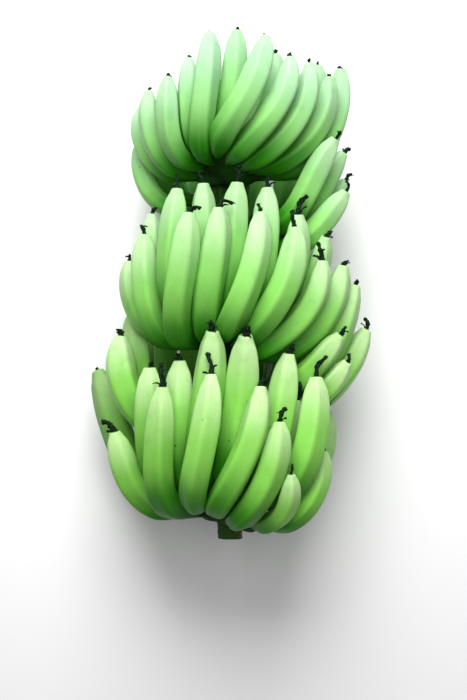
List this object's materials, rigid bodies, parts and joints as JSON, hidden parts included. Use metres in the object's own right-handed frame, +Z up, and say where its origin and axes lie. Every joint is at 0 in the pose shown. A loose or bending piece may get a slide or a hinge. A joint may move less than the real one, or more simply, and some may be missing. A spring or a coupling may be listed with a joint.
{
  "type": "green banana bunch",
  "caption": "Picked bunch of unripe green bananas lying on its back: hands of curved ridged fingers with withered flower ends round one stalk.",
  "frame": {"origin": "centre of the bounding box's bottom face, on the surface that the bunch lies on", "axes": "+Y along the stalk to its upper, thicker end; +X across the bunch, to the right in the picture; +Z up, the side that the picture shows"},
  "size_m": [0.396, 0.6826, 0.3002],
  "materials": {
    "peel": "waxy, half matt green peel",
    "stalk": "matt, fibrous green stem"
  },
  "bodies": {
    "root": {"stalk": "stalk", "hand_1": "peel", "hand_2": "peel", "hand_3": "peel", "hand_4": "peel", "hand_5": "peel"}
  },
  "joints": []
}
